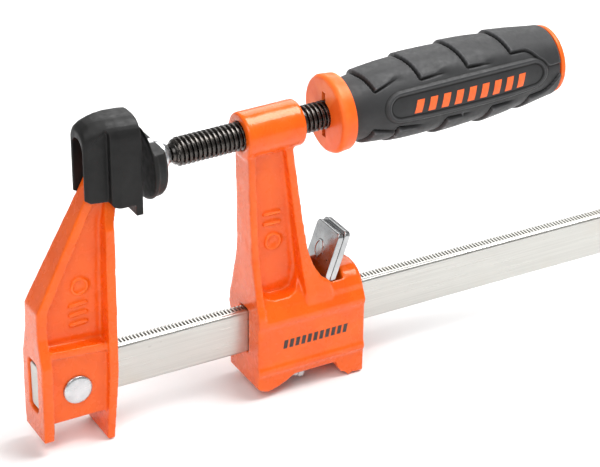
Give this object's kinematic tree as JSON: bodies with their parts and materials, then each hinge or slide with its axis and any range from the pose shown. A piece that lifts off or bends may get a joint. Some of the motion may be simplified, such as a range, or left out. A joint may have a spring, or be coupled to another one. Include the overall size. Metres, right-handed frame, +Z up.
{
  "type": "f clamp",
  "caption": "Light-duty steel-bar F clamp: riveted fixed jaw with a plastic cap, sliding jaw with clutch plates, screw with swivel pad and rubber-gripped handle.",
  "frame": {"origin": "centre of the fixed jaw pad's clamping face, on the height of the screw's axis there", "axes": "+X along the bar from the fixed jaw towards the handle and the bar's free end, +Z up from the bar to the screw, +Y through the bar's thickness"},
  "size_m": [0.2629, 0.0288, 0.1113],
  "materials": {
    "bar_steel": "brushed, lightly stained",
    "zinc": "bright zinc plate",
    "plate_steel": "bright plated",
    "orange_paint": "gloss paint over a casting",
    "orange_plastic": "semi-gloss moulding",
    "black_plastic": "fine matt moulding",
    "black_oxide": "oiled black oxide",
    "grip_rubber": "matt moulded rubber"
  },
  "bodies": {
    "bar_and_fixed_jaw": {"bar": "bar_steel", "bar_stop_pin": "zinc", "fixed_jaw": "orange_paint", "jaw_rivet": "zinc", "fixed_jaw_pad": "black_plastic"},
    "sliding_jaw": {"sliding_jaw": "orange_paint", "clutch_spring": "zinc"},
    "clutch": {"clutch_plate_front": "plate_steel", "clutch_plate_rear": "plate_steel"},
    "screw_nose": {"swivel_ball": "black_oxide"},
    "screw_and_handle": {"screw": "black_oxide", "handle_core": "orange_plastic", "handle_cross_pin": "zinc", "handle_grip": "grip_rubber", "handle_end_cap": "orange_plastic"},
    "swivel": {"swivel_socket": "zinc", "swivel_pad": "black_plastic"}
  },
  "joints": [
    {"name": "jaw_slide", "type": "slide", "parent": "bar_and_fixed_jaw", "child": "sliding_jaw", "axis": [1, 0, 0], "range_m": [0, 0.141]},
    {"name": "clutch_release", "type": "hinge", "parent": "sliding_jaw", "child": "clutch", "pos_m": [0.05677, 0, -0.08681], "axis": [0, 1, 0], "range_deg": [-5, 0], "stiffness_Nm_per_rad": 0.6, "springref_deg": 8.59, "deforming": ["clutch_spring"]},
    {"name": "screw_feed", "type": "slide", "parent": "sliding_jaw", "child": "screw_nose", "axis": [0.9997, 0, 0.0248], "range_m": [-0.001, 0.02]},
    {"name": "screw_turn", "type": "hinge", "parent": "screw_nose", "child": "screw_and_handle", "pos_m": [0.06637, 0, 0.00165], "axis": [0.9997, 0, 0.0248], "range_deg": [-227, 4536]},
    {"name": "swivel_tilt", "type": "hinge", "parent": "screw_nose", "child": "swivel", "pos_m": [0.00839, 0, 0.00021], "axis": [0, 1, 0], "range_deg": [-6, 6]}
  ],
  "couplings": [
    {"joint": "screw_turn", "follows": "screw_feed", "rad_per_m": 3957.9}
  ]
}
